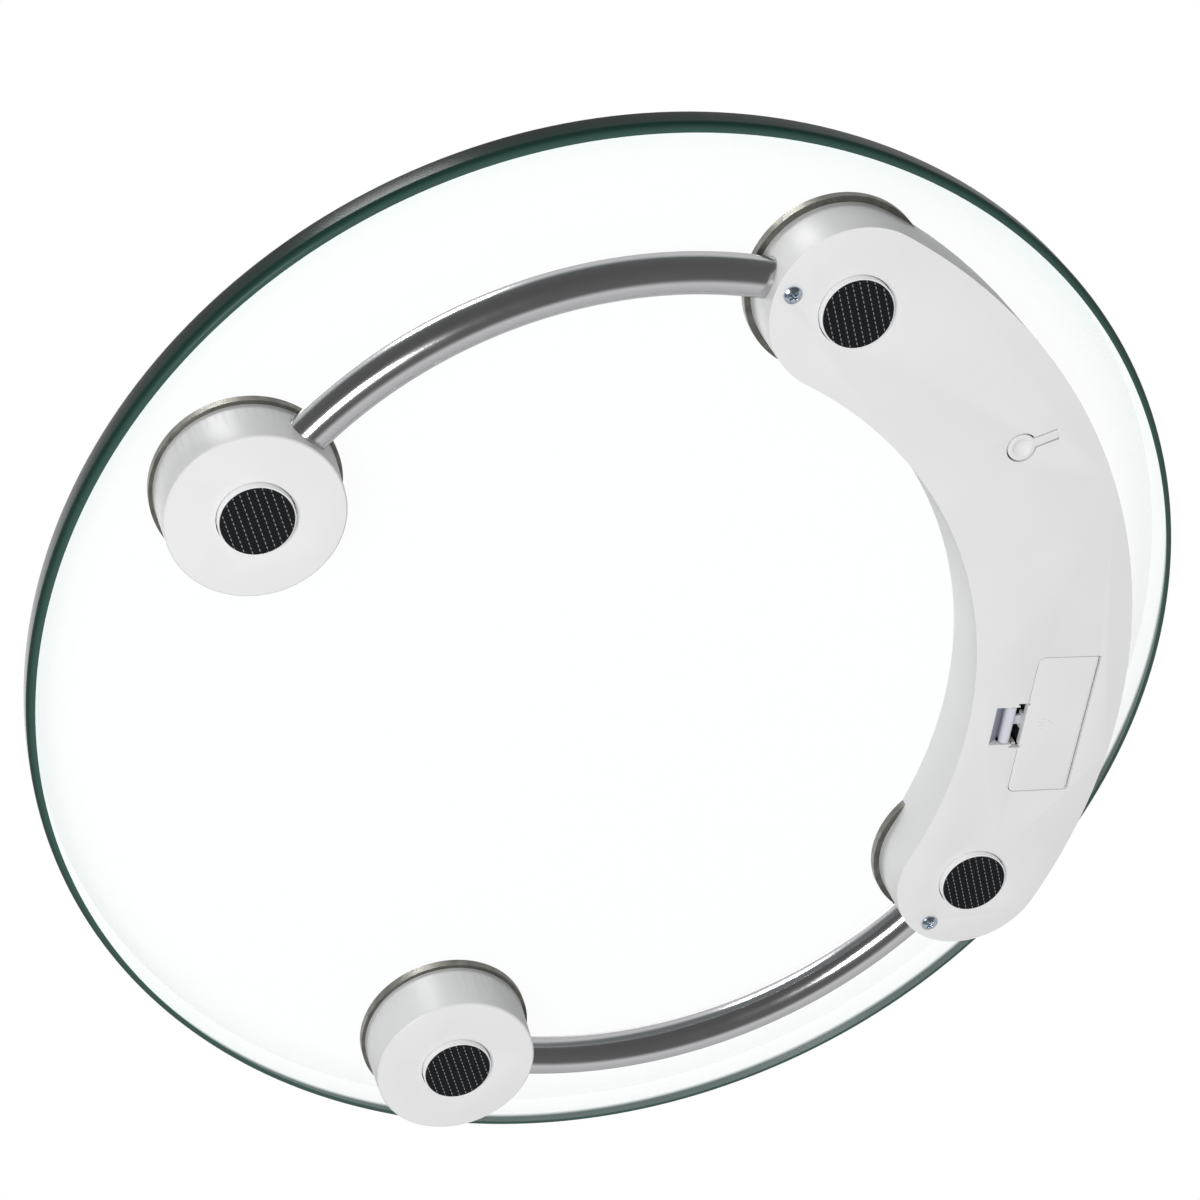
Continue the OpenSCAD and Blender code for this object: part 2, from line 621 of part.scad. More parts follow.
module contact_positive() color(chrome) { contact_pad(cell_x1, -1); contact_button(cell_x1, -1); }
module contact_negative() color(chrome) { contact_pad(cell_x0, -1); contact_spring(cell_x0, -1); }
module contact_link() color(chrome) {
    contact_pad(cell_x0, 1);
    contact_pad(cell_x1, 1);
    at_bay() block([cell_x0, contact_y, cell_zc - 1], [cell_x1, contact_y + contact_t, cell_zc + 1]);
    contact_button(cell_x0, 1);
    contact_spring(cell_x1, 1);
}

// The two wires from the battery box to the underside of the board.
module battery_wires() color("firebrick") for (x = [cell_x0, cell_x1]) {
    a = arc_r + bay_offset + x;
    c = [a * cos(bay_angle), arc_y + a * sin(bay_angle)];
    from = c + (bay_l / 2 + box_wall + 0.4) * [sin(bay_angle), -cos(bay_angle)];
    rod([from.x, from.y, board_z - 0.6], [board_x0 + 5, from.y - 2, board_z - 0.6], 0.6);
}

// Door: flat plate with a rolled hinge edge, two stub pins and the latch leg.
module battery_door() color(plastic) at_bay() difference() {
    union() {
        intersection() {
            union() {
                block([-door_w / 2, -door_l / 2, face_z], [hinge_x, door_l / 2, face_z + door_t]);
                translate([hinge_x, door_l / 2, hinge_z]) rotate([90, 0, 0])
                    cylinder(r = hinge_r, h = door_l, $fn = 48);
            }
            rounded_plate(door_w, door_l, face_z - 1, hinge_z + 3, door_corner_r, hinge_corner_r);
        }
        for (s = [-1, 1]) translate([hinge_x, s * (door_l / 2 + hinge_pin_l / 2 - 0.25), hinge_z])
            rotate([90, 0, 0]) translate([0, 0, -hinge_pin_l / 2 - 0.25])
                cylinder(r = hinge_pin_r, h = hinge_pin_l + 0.5, $fn = 32);
        block([leg_x, -leg_w / 2, floor_z - 0.1], [leg_x + leg_wall, leg_w / 2, tongue_z + tongue_t + 0.4]);
    }
    slot_ends();
    block([leg_x - 1, -leg_w / 2 + leg_wall - run_gap, tongue_z - run_gap],
        [leg_x + 2, leg_w / 2 - leg_wall + run_gap, tongue_z + tongue_t + run_gap]);
}

// Latch: a rolled lip at the face, a leg, and a tongue that slides in the door's leg.
module door_latch() color([0.8, 0.82, 0.85]) at_bay() {
    translate([latch_x, latch_w / 2, latch_z]) rotate([90, 0, 0]) cylinder(r = lip_r, h = latch_w, $fn = 48);
    block([latch_x - 1, -latch_w / 2, latch_z], [latch_x + 0.2, latch_w / 2, tongue_z + tongue_t]);
    block([latch_x - 1, -leg_w / 2 + leg_wall, tongue_z],
        [leg_x + 0.3, leg_w / 2 - leg_wall, tongue_z + tongue_t]);
}

// ---- nodes ----

glass_platform();
plate(1, 1);  // plate_front_right
plate(-1, 1);  // plate_front_left
plate(1, -1);  // plate_rear_right
plate(-1, -1);  // plate_rear_left
pod(1);  // pod_right
pod(-1);  // pod_left
front_housing();
top_cover();
display_window();
tube(1);  // tube_right
tube(-1);  // tube_left
tube_plug(1);  // tube_plug_right
tube_plug(-1);  // tube_plug_left
housing_screws();
foot_cup(1, 1);  // foot_cup_front_right
foot_cup(-1, 1);  // foot_cup_front_left
foot_cup(1, -1);  // foot_cup_rear_right
foot_cup(-1, -1);  // foot_cup_rear_left
foot_pad(1, 1);  // foot_pad_front_right
foot_pad(-1, 1);  // foot_pad_front_left
foot_pad(1, -1);  // foot_pad_rear_right
foot_pad(-1, -1);  // foot_pad_rear_left
load_cell(1, 1);  // load_cell_front_right
load_cell(-1, 1);  // load_cell_front_left
load_cell(1, -1);  // load_cell_rear_right
load_cell(-1, -1);  // load_cell_rear_left
strain_gauges();
lead_front_right();
lead_front_left();
lead_rear_right();
lead_rear_left();
circuit_board();
controller_chip();
board_components();
board_screws();
display_panel();
display_bezel();
contact_strips();
unit_switch();
unit_button();
battery_box();
battery_cell_inner();
battery_cell_outer();
contact_positive();
contact_negative();
contact_link();
battery_wires();
battery_door();
door_latch();
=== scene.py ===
"""Round glass bathroom scale, seen from below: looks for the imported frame."""
import json
import math

import bmesh
import bpy
import numpy as np
from mathutils import Matrix, Vector


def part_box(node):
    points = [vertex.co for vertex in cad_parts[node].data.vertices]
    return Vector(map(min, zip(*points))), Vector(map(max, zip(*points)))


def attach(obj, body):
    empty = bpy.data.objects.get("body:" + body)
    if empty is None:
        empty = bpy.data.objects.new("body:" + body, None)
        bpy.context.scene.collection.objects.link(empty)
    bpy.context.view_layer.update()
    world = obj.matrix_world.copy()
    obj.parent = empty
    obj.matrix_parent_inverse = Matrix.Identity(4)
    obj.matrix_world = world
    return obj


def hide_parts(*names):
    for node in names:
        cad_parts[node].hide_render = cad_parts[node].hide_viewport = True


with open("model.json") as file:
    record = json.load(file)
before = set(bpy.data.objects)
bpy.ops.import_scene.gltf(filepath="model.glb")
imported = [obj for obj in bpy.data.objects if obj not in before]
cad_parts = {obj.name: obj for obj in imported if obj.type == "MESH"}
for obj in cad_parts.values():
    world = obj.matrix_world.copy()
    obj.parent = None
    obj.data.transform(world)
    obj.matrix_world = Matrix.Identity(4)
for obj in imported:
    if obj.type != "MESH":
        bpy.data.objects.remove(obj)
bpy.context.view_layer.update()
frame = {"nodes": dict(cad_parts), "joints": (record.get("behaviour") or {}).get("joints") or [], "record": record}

MM = 0.001


# ---- places, read from the frame ----

def middle(node):
    """Middle of a CAD node's box."""
    low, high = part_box(node)
    return (low + high) / 2


GLASS_LOW, GLASS_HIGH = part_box("glass_platform")
GLASS_R = GLASS_HIGH.x
FEET = {name: middle("foot_pad_" + name) for name in
        ("front_right", "front_left", "rear_right", "rear_left")}
JOINTS = {joint["name"]: joint for joint in frame["joints"]}
PLATFORM = "platform"
ALONG = Vector(JOINTS["door_swing"]["axis"]).normalized()         # along the battery bay
OUTWARD = Vector(JOINTS["latch_squeeze"]["axis"]).normalized()    # from the latch to the hinge


# ---- camera, floor and light ----

CAMERA_AT = Vector((0.4774, -0.0682, -0.6146))
CAMERA_RIGHT = Vector((-0.2234, 0.9401, -0.2576))
CAMERA_UP = Vector((0.7866, 0.3299, 0.5220))
CAMERA_LENS = 85.55      # mm, on a 36 mm wide sensor


def add_camera():
    data = bpy.data.cameras.new("camera")
    data.lens = CAMERA_LENS
    data.sensor_width = 36
    data.clip_start = 0.01
    data.clip_end = 20
    camera = bpy.data.objects.new("camera", data)
    bpy.context.scene.collection.objects.link(camera)
    right = CAMERA_RIGHT.normalized()
    up = (CAMERA_UP - right * CAMERA_UP.dot(right)).normalized()
    back = right.cross(up)
    turn = Matrix((right, up, back)).transposed()
    camera.matrix_world = Matrix.Translation(CAMERA_AT) @ turn.to_4x4()
    bpy.context.scene.camera = camera


def add_area(name, place, aim, size, power, colour=(1, 1, 1)):
    """Soft square light at place, turned to face aim."""
    data = bpy.data.lights.new(name, "AREA")
    data.size = size
    data.energy = power
    data.color = colour
    light = bpy.data.objects.new(name, data)
    bpy.context.scene.collection.objects.link(light)
    light.location = place
    light.rotation_euler = (Vector(aim) - Vector(place)).to_track_quat("-Z", "Y").to_euler()


# ---- nodes and colours ----

def linear(hex_colour):
    """Turns a hex sRGB colour into linear red, green, blue and a full alpha."""
    parts = [int(hex_colour[i:i + 2], 16) / 255 for i in (1, 3, 5)]
    return [c / 12.92 if c <= 0.04045 else ((c + 0.055) / 1.055) ** 2.4 for c in parts] + [1]


def add(tree, kind, settings=None, links=None):
    """Adds a node. settings sets its properties and sockets; links joins a socket to another node's
    output."""
    node = tree.nodes.new(kind)
    for key, value in (settings or {}).items():
        if isinstance(key, str) and hasattr(node, key) and key not in node.inputs:
            setattr(node, key, value)
        else:
            node.inputs[key].default_value = value
    for key, output in (links or {}).items():
        tree.links.new(output, node.inputs[key])
    return node


def new_material(name, settings):
    """A material with one Principled shader, whose own sockets hold the even values."""
    material = bpy.data.materials.new(name)
    material.use_nodes = True
    tree = material.node_tree
    shader = tree.nodes["Principled BSDF"]
    for key, value in settings.items():
        shader.inputs[key].default_value = value
    return material, tree, shader


def ramp(tree, factor, stops, mode="LINEAR"):
    """Colour ramp over factor, from a list of (place, hex colour)."""
    node = add(tree, "ShaderNodeValToRGB", {}, {"Fac": factor})
    node.color_ramp.interpolation = mode
    points = node.color_ramp.elements
    while len(points) < len(stops):
        points.new(0.5)
    for point, (place, colour) in zip(points, stops):
        point.position = place
        point.color = linear(colour)
    return node


def object_point(tree):
    return add(tree, "ShaderNodeTexCoord").outputs["Object"]


def bump(tree, shader, height, depth_mm, strength=1.0):
    """Relief of depth_mm on the shader's normal."""
    node = add(tree, "ShaderNodeBump", {"Strength": strength, "Distance": depth_mm * MM}, {"Height": height})
    tree.links.new(node.outputs["Normal"], shader.inputs["Normal"])
    return node


# ---- materials ----

def moulded_plastic(name, colour, roughness=0.42, grain_mm=0.35, depth=0.012):
    """Moulded ABS: an even colour with the fine spark-eroded grain of the mould, which softens the light."""
    material, tree, shader = new_material(name, {"Roughness": roughness, "IOR": 1.53})
    point = object_point(tree)
    fine = add(tree, "ShaderNodeTexNoise", {"Scale": 1 / (grain_mm * MM), "Detail": 3.0, "Roughness": 0.6},
               {"Vector": point})
    cloud = add(tree, "ShaderNodeTexNoise", {"Scale": 1 / (26 * MM), "Detail": 2.0}, {"Vector": point})
    low = "#" + "".join("%02X" % max(int(colour[i:i + 2], 16) - 3, 0) for i in (1, 3, 5))
    tint = ramp(tree, cloud.outputs["Fac"], [(0.35, low), (0.65, colour)])
    tree.links.new(tint.outputs["Color"], shader.inputs["Base Color"])
    bump(tree, shader, fine.outputs["Fac"], depth, 0.5)
    return material


def see_through(tree, factor, solid):
    """Mixes clear passage with a solid shader: factor 0 is clear, 1 is solid."""
    clear = add(tree, "ShaderNodeBsdfTransparent")
    mix = add(tree, "ShaderNodeMixShader", {}, {0: factor, 1: clear.outputs[0], 2: solid})
    tree.links.new(mix.outputs[0], tree.nodes["Material Output"].inputs["Surface"])


def height_in_glass(tree):
    """0 at the underside of the glass, 1 at its top."""
    split = add(tree, "ShaderNodeSeparateXYZ", {}, {0: object_point(tree)})
    return add(tree, "ShaderNodeMapRange", {"From Min": GLASS_LOW.z, "From Max": GLASS_HIGH.z},
               {"Value": split.outputs["Z"]}).outputs["Result"]


def tempered_glass():
    """Float glass, tempered: clear through its thickness, with a mirror gloss that grows at a slant and a painted
    pale sea-green glow over the last 15 mm before the rim, standing for the light that the rim sends into the
    sheet."""
    material, tree, shader = new_material("tempered_glass", {
        "Roughness": 0.02, "IOR": 1.52, "Base Color": linear("#E4FFFA")})
    flat = add(tree, "ShaderNodeVectorMath", {"operation": "MULTIPLY", 1: (1, 1, 0)}, {0: object_point(tree)})
    length = add(tree, "ShaderNodeVectorMath", {"operation": "LENGTH"}, {0: flat.outputs["Vector"]})
    # Painted glow: the sheet is made less clear towards the rim, so its pale sea-green shows there as light from
    # the rim.
    glow = add(tree, "ShaderNodeMapRange", {"From Min": GLASS_R - 15 * MM, "From Max": GLASS_R,
                                            "To Min": 0.012, "To Max": 0.16,
                                            "interpolation_type": "SMOOTHERSTEP"},
               {"Value": length.outputs["Value"]})
    slant = add(tree, "ShaderNodeFresnel", {"IOR": 1.52})
    outer = add(tree, "ShaderNodeMath", {"operation": "SUBTRACT", 0: 1.0},
                {1: add(tree, "ShaderNodeNewGeometry").outputs["Backfacing"]})
    gloss = add(tree, "ShaderNodeMath", {"operation": "MULTIPLY"}, {0: slant.outputs[0], 1: outer.outputs[0]})
    share = add(tree, "ShaderNodeMath", {"operation": "MULTIPLY_ADD", 1: 0.5},
                {0: gloss.outputs[0], 2: glow.outputs["Result"]})
    see_through(tree, share.outputs[0], shader.outputs[0])
    return material


def glass_rim():
    """Polished rim of float glass: light gathered along the sheet leaves it as a deep bottle green, darker towards
    the top. Seen from inside the sheet, the bend of the light hides its far part, and there the rim is painted
    shade, near black low down, with painted pale light above two thirds of its height, where it fades out."""
    material, tree, shader = new_material("polished_glass_rim", {"Roughness": 0.25, "IOR": 1.52,
                                                                 "Specular IOR Level": 0.06})
    height = height_in_glass(tree)
    # Outside: darker from the underside towards the top.
    outside = ramp(tree, height, [(0.0, "#3F5A53"), (0.1, "#223C36"), (0.4, "#142B25"), (0.7, "#091A16"),
                                  (1.0, "#06120F")])
    # Inside: painted shade, near black, turning to painted pale light above two thirds of the height.
    inside = ramp(tree, height, [(0.0, "#020907"), (0.38, "#04110D"), (0.56, "#16342D"), (0.68, "#DDF4F0")])
    side = add(tree, "ShaderNodeNewGeometry").outputs["Backfacing"]
    tint = add(tree, "ShaderNodeMix", {"data_type": "RGBA"},
               {"Factor": side, 6: outside.outputs["Color"], 7: inside.outputs["Color"]})
    tree.links.new(tint.outputs[2], shader.inputs["Base Color"])
    fade = ramp(tree, height, [(0.0, "#FFFFFF"), (0.48, "#FFFFFF"), (0.62, "#505050"), (1.0, "#101010")])
    share = add(tree, "ShaderNodeMix", {"data_type": "FLOAT", 2: 1.0},
                {"Factor": side, 3: fade.outputs["Color"]})
    see_through(tree, share.outputs[0], shader.outputs[0])
    return material


def from_pod_middle(tree):
    """Place measured from the middle of the nearest foot, the same in all four corners."""
    away = add(tree, "ShaderNodeVectorMath", {"operation": "ABSOLUTE"}, {0: object_point(tree)})
    foot = FEET["front_right"]
    return add(tree, "ShaderNodeVectorMath", {"operation": "SUBTRACT", 1: (foot.x, foot.y, 0)},
               {0: away.outputs["Vector"]}).outputs["Vector"]


def turned_steel():
    """Stainless steel disc, faced on a lathe: fine rings spread each highlight into a ray from its middle.
    The rings are drawn 0.9 mm apart so that they show."""
    material, tree, shader = new_material("turned_steel", {"Metallic": 1.0, "Roughness": 0.45})
    place = from_pod_middle(tree)
    rings = add(tree, "ShaderNodeTexWave", {"wave_type": "RINGS", "rings_direction": "Z",
                                            "Scale": 0.314 / (0.9 * MM), "Distortion": 0.4, "Detail": 2.0},
                {"Vector": place})
    cloud = add(tree, "ShaderNodeTexNoise", {"Scale": 1 / (3 * MM), "Detail": 3.0}, {"Vector": place})
    tint = ramp(tree, cloud.outputs["Fac"], [(0.3, "#72716B"), (0.7, "#8B8A83")])
    tree.links.new(tint.outputs["Color"], shader.inputs["Base Color"])
    bump(tree, shader, rings.outputs["Fac"], 0.05, 0.6)
    return material


def chrome_plate():
    """Chromium plate on a bent steel tube: a clear mirror with a trace of bending marks."""
    material, tree, shader = new_material("chrome_plate", {"Metallic": 1.0, "Roughness": 0.16,
                                                           "Base Color": linear("#C9C8CA")})
    point = object_point(tree)
    haze = add(tree, "ShaderNodeTexNoise", {"Scale": 1 / (9 * MM), "Detail": 3.0}, {"Vector": point})
    level = add(tree, "ShaderNodeMapRange", {"To Min": 0.12, "To Max": 0.21}, {"Value": haze.outputs["Fac"]})
    tree.links.new(level.outputs["Result"], shader.inputs["Roughness"])
    return material


def in_steps(tree, value, pitch_mm):
    """Position within the step, 0 to 1, of a value cut in steps of pitch_mm."""
    scaled = add(tree, "ShaderNodeMath", {"operation": "DIVIDE", 1: pitch_mm * MM}, {0: value})
    return add(tree, "ShaderNodeMath", {"operation": "FRACT"}, {0: scaled.outputs[0]}).outputs[0]


def pad_rubber():
    """Moulded rubber with a woven face: near black, with rows of short raised dashes 2 mm apart whose catch of the
    light is a painted light grey highlight, over a weave with threads 0.5 mm apart."""
    material, tree, shader = new_material("pad_rubber", {"Roughness": 0.7, "Specular IOR Level": 0.12})
    point = object_point(tree)
    split = add(tree, "ShaderNodeSeparateXYZ", {}, {0: point})
    row = in_steps(tree, split.outputs["Y"], 1.95)
    length = in_steps(tree, split.outputs["X"], 1.4)
    across = add(tree, "ShaderNodeMath", {"operation": "COMPARE", 1: 0.5, 2: 0.06}, {0: row})
    along = add(tree, "ShaderNodeMath", {"operation": "COMPARE", 1: 0.5, 2: 0.3}, {0: length})
    dash = add(tree, "ShaderNodeMath", {"operation": "MULTIPLY"}, {0: across.outputs[0], 1: along.outputs[0]})
    weave = add(tree, "ShaderNodeTexChecker", {"Scale": 1 / (0.5 * MM),
                                               "Color1": linear("#0E0F11"), "Color2": linear("#1E2023")},
                {"Vector": point})
    # Painted highlight: the dashes are coloured light grey for the light that they catch; their relief is the bump
    # below.
    tint = add(tree, "ShaderNodeMix", {"data_type": "RGBA", 7: linear("#85888B")},
               {"Factor": dash.outputs[0], 6: weave.outputs["Color"]})
    tree.links.new(tint.outputs[2], shader.inputs["Base Color"])
    bump(tree, shader, dash.outputs[0], 0.1, 0.5)
    return material


def zinc_plate():
    """Zinc-plated steel: bright with the faint blue of its passivation."""
    material, tree, shader = new_material("zinc_plate", {"Metallic": 1.0, "Roughness": 0.22})
    noise = add(tree, "ShaderNodeTexNoise", {"Scale": 1 / (1.2 * MM), "Detail": 2.0},
                {"Vector": object_point(tree)})
    tint = ramp(tree, noise.outputs["Fac"], [(0.3, "#93A2B2"), (0.7, "#C4CED6")])
    tree.links.new(tint.outputs["Color"], shader.inputs["Base Color"])
    return material


def stamped_metal(name, colour, roughness):
    """Stamped sheet with the streaks of its rolling."""
    material, tree, shader = new_material(name, {"Metallic": 1.0, "Roughness": roughness})
    point = object_point(tree)
    streak = add(tree, "ShaderNodeTexNoise", {"Scale": 1 / (3 * MM), "Detail": 3.0},
                 {"Vector": add(tree, "ShaderNodeMapping", {"Scale": (1, 9, 9)},
                                {"Vector": point}).outputs["Vector"]})
    low = "#" + "".join("%02X" % max(int(colour[i:i + 2], 16) - 22, 0) for i in (1, 3, 5))
    tint = ramp(tree, streak.outputs["Fac"], [(0.3, low), (0.7, colour)])
    tree.links.new(tint.outputs["Color"], shader.inputs["Base Color"])
    return material


def solder_mask():
    """Glass-epoxy laminate under green solder mask, with tracks that show as lighter lines."""
    material, tree, shader = new_material("solder_mask", {"Roughness": 0.3, "Coat Weight": 0.3})
    cells = add(tree, "ShaderNodeTexVoronoi", {"feature": "DISTANCE_TO_EDGE", "Scale": 1 / (3.4 * MM)},
                {"Vector": object_point(tree)})
    tint = ramp(tree, cells.outputs["Distance"], [(0.0, "#2F7A4C"), (0.08, "#1B5A36"), (0.12, "#14492B")])
    tree.links.new(tint.outputs["Color"], shader.inputs["Base Color"])
    return material


def speckled(name, low, high, roughness, grain_mm, metallic=0.0):
    """Fine speckle between two colours: fired ceramic, cured sealant or soft sheath."""
    material, tree, shader = new_material(name, {"Roughness": roughness, "Metallic": metallic})
    noise = add(tree, "ShaderNodeTexNoise", {"Scale": 1 / (grain_mm * MM), "Detail": 3.0},
                {"Vector": object_point(tree)})
    tint = ramp(tree, noise.outputs["Fac"], [(0.35, low), (0.65, high)])
    tree.links.new(tint.outputs["Color"], shader.inputs["Base Color"])
    bump(tree, shader, noise.outputs["Fac"], 0.02, 0.4)
    return material


def clear_acrylic():
    """Cast acrylic window: clear, with the faintest grey of its edge."""
    material, tree, shader = new_material("clear_acrylic", {"Roughness": 0.05, "IOR": 1.49, "Alpha": 0.12})
    noise = add(tree, "ShaderNodeTexNoise", {"Scale": 1 / (20 * MM)}, {"Vector": object_point(tree)})
    tint = ramp(tree, noise.outputs["Fac"], [(0.3, "#DDE6E6"), (0.7, "#E8F0F0")])
    tree.links.new(tint.outputs["Color"], shader.inputs["Base Color"])
    return material


MATERIALS = {
    "housing": moulded_plastic("moulded_abs", "#E9E9E9"),
    "cup": moulded_plastic("moulded_acetal", "#F4F4F4", 0.35),
    "latch": moulded_plastic("moulded_latch_abs", "#D5D8E0", 0.25),
    # Grey-blue of painted shade, for the slab in the finger well.
    "well": moulded_plastic("painted_well_shade", "#8E93A3", 0.35),
    "cover": moulded_plastic("silver_sprayed_abs", "#C9CBCD", 0.38),
    "box": moulded_plastic("moulded_box_abs", "#DADADA", 0.5),
    "black": moulded_plastic("moulded_black_nylon", "#1D1E20", 0.4),
    "glass": tempered_glass(),
    "rim": glass_rim(),
    "plate": turned_steel(),
    "chrome": chrome_plate(),
    "rubber": pad_rubber(),
    "screw": zinc_plate(),
    "cell_steel": stamped_metal("stamped_spring_steel", "#A9ABAE", 0.35),
    "contact": stamped_metal("nickel_plated_spring", "#CFCDC6", 0.25),
    "board": solder_mask(),
    "gauge": speckled("cured_sealant", "#DAD6C8", "#EDEADF", 0.5, 0.8),
    "sheath": speckled("pvc_sheath", "#1C1C1E", "#2A2A2C", 0.45, 0.6),
    "wire": speckled("wire_insulation", "#8E1512", "#A81F1A", 0.35, 0.6),
    "ceramic": speckled("fired_ceramic", "#A98453", "#C29D6B", 0.5, 0.3),
    "silicone": speckled("moulded_silicone", "#C9808B", "#D8939D", 0.5, 0.4),
    "lcd": speckled("polarised_display", "#8E9A86", "#98A48F", 0.22, 9.0),
    "jacket": speckled("shrunk_cell_jacket", "#17181C", "#1E2026", 0.25, 2.0),
    "jacket_band": speckled("copper_foil_band", "#A8763A", "#BC8848", 0.3, 2.0, 0.6),
    "ink": speckled("display_ink", "#7C8875", "#828E7B", 0.3, 3.0),
    "window": clear_acrylic(),
}

NODE_FINISH = {
    "plate_": "plate", "pod_": "housing", "front_housing": "housing", "top_cover": "cover",
    "display_window": "window", "tube_plug": "black", "tube_": "chrome", "housing_screws": "screw",
    "foot_cup": "cup", "foot_pad": "rubber", "load_cell": "cell_steel", "strain_gauges": "gauge",
    "lead_": "sheath", "circuit_board": "board", "controller_chip": "black", "board_components": "ceramic",
    "board_screws": "screw", "display_panel": "lcd", "display_bezel": "black", "contact_strips": "silicone",
    "unit_switch": "black", "unit_button": "housing", "battery_box": "box", "battery_cell": "jacket",
    "contact_": "contact", "battery_wires": "wire", "battery_door": "housing", "door_latch": "latch",
    "glass_platform": "glass",
}


def finish_of(node):
    """The finish of a CAD node: the longest entry that its name starts with."""
    keys = [key for key in NODE_FINISH if node.startswith(key)]
    return MATERIALS[NODE_FINISH[max(keys, key=len)]]


# ---- making pieces ----

def make_piece(name, points, faces, materials, faces_material=None, smooth=True):
    mesh = bpy.data.meshes.new(name)
    mesh.from_pydata(points.tolist(), [], faces)
    for material in materials:
        mesh.materials.append(material)
    if faces_material is not None:
        mesh.polygons.foreach_set("material_index", faces_material)
    mesh.polygons.foreach_set("use_smooth", [smooth] * len(mesh.polygons))
    mesh.update()
    piece = bpy.data.objects.new(name, mesh)
    bpy.context.scene.collection.objects.link(piece)
    return piece


def sharpen(piece, degrees):
    """Marks edges sharper than an angle, so that smooth shading stops at them."""
    work = bmesh.new()
    work.from_mesh(piece.data)
    for edge in work.edges:
        edge.smooth = not (len(edge.link_faces) == 2 and edge.calc_face_angle() > math.radians(degrees))
    work.to_mesh(piece.data)
    work.free()


def grid_faces(rows, columns, wrap_rows=False, wrap_columns=False):
    """Quads of a grid of points, rows by columns, joined round where a direction wraps."""
    i = np.arange(rows if wrap_rows else rows - 1)
    j = np.arange(columns if wrap_columns else columns - 1)
    i, j = (a.ravel() for a in np.meshgrid(i, j, indexing="ij"))
    i1, j1 = (i + 1) % rows, (j + 1) % columns
    return np.stack([i * columns + j, i * columns + j1, i1 * columns + j1, i1 * columns + j], 1)


def turned(profile, steps, origin=(0, 0, 0), axis=(0, 0, 1)):
    """Surface of revolution: each profile point (radius, distance along the axis) carried round a circle
    about the axis through origin. The profile runs along the axis, so that the faces point outwards."""
    profile = np.array(profile, float)
    along = np.array(Vector(axis).normalized())
    side = np.array(Vector((0, 1, 0) if abs(along[2]) > 0.9 else (0, 0, 1)).cross(Vector(along)).normalized())
    third = np.cross(along, side)
    angle = np.linspace(0, 2 * math.pi, steps, endpoint=False)
    ring = np.cos(angle)[:, None] * side + np.sin(angle)[:, None] * third
    points = (np.array(origin) + profile[:, 1][:, None, None] * along
              + profile[:, 0][:, None, None] * ring[None]).reshape(-1, 3)
    return points, grid_faces(len(profile), steps, wrap_columns=True)


def rounded_corner(x, z, r, start, steps):
    """Quarter circle of radius r about (x, z), from the angle start in degrees."""
    a = np.radians(start + np.linspace(0, 90, steps))
    return np.stack([x + r * np.cos(a), z + r * np.sin(a)], 1)


def take_over(piece, node, body):
    """The piece stands for a CAD node: the node is hidden and the piece joins the body."""
    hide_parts(node)
    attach(piece, body)
    return piece


def body_of(node):
    return next(b for b, ns in frame["record"]["behaviour"]["bodies"].items() if node in ns)


def eased_copy(node, width_mm, segments=3, angle=35):
    """A copy of a CAD node with its sharp edges rounded."""
    mesh = frame["nodes"][node].data.copy()
    work = bmesh.new()
    work.from_mesh(mesh)
    bmesh.ops.remove_doubles(work, verts=work.verts, dist=1e-6)
    bmesh.ops.dissolve_limit(work, angle_limit=math.radians(0.5), verts=work.verts, edges=work.edges)
    work.to_mesh(mesh)
    work.free()
    mesh.materials.clear()
    mesh.materials.append(finish_of(node))
    piece = bpy.data.objects.new(node + "_eased", mesh)
    bpy.context.scene.collection.objects.link(piece)
    ease = piece.modifiers.new("ease", "BEVEL")
    ease.width = width_mm * MM
    ease.segments = segments
    ease.limit_method = "ANGLE"
    ease.angle_limit = math.radians(angle)
    ease.use_clamp_overlap = True
    ease.harden_normals = False
    apply_modifiers(piece)
    mesh = piece.data
    mesh.polygons.foreach_set("use_smooth", [True] * len(mesh.polygons))
    sharpen(piece, 28)
    return take_over(piece, node, body_of(node))


def apply_modifiers(piece):
    """Bakes the modifiers into the mesh."""
    bpy.context.view_layer.update()
    ready = bpy.data.meshes.new_from_object(piece.evaluated_get(bpy.context.evaluated_depsgraph_get()))
    piece.modifiers.clear()
    piece.data = ready


# ---- the pieces ----

def glass_body():
    """Flat disc with a polished rim: the profile goes from the middle of the underside, round
    two quarter circles, to the middle of the top, and is carried round the axis. The underside
    stands 0.06 mm clear of the plates and the cover, so that no two faces coincide."""
    rim = 2.4 * MM
    low, high, r = GLASS_LOW.z + 0.06 * MM, GLASS_HIGH.z, GLASS_R
    inner = [(r * k, low) for k in (0.0, 0.5, 0.86, 0.9, 0.94, 0.97)]
    lower = rounded_corner(r - rim, low + rim, rim, -90, 9)
    upper = rounded_corner(r - rim, high - rim, rim, 0, 9)
    outer = [(r * k, high) for k in (0.97, 0.94, 0.9, 0.86, 0.5, 0.0)]
    profile = np.vstack([inner, lower, upper, outer])
    steps = 256
    points, faces = turned(profile, steps)
    ring = np.arange(len(faces)) // steps
    edge = (ring >= len(inner) - 0) & (ring < len(inner) + 17)
    piece = make_piece("glass_disc", points, faces.tolist(), [MATERIALS["glass"], MATERIALS["rim"]],
                       edge.astype(int).tolist())
    weld(piece)
    outward(piece)
    return take_over(piece, "glass_platform", PLATFORM)


def weld(piece):
    """Joins the points that fall together, so poles and seams are closed."""
    work = bmesh.new()
    work.from_mesh(piece.data)
    bmesh.ops.remove_doubles(work, verts=work.verts, dist=2e-6)
    bmesh.ops.dissolve_degenerate(work, edges=work.edges, dist=1e-7)
    work.to_mesh(piece.data)
    work.free()


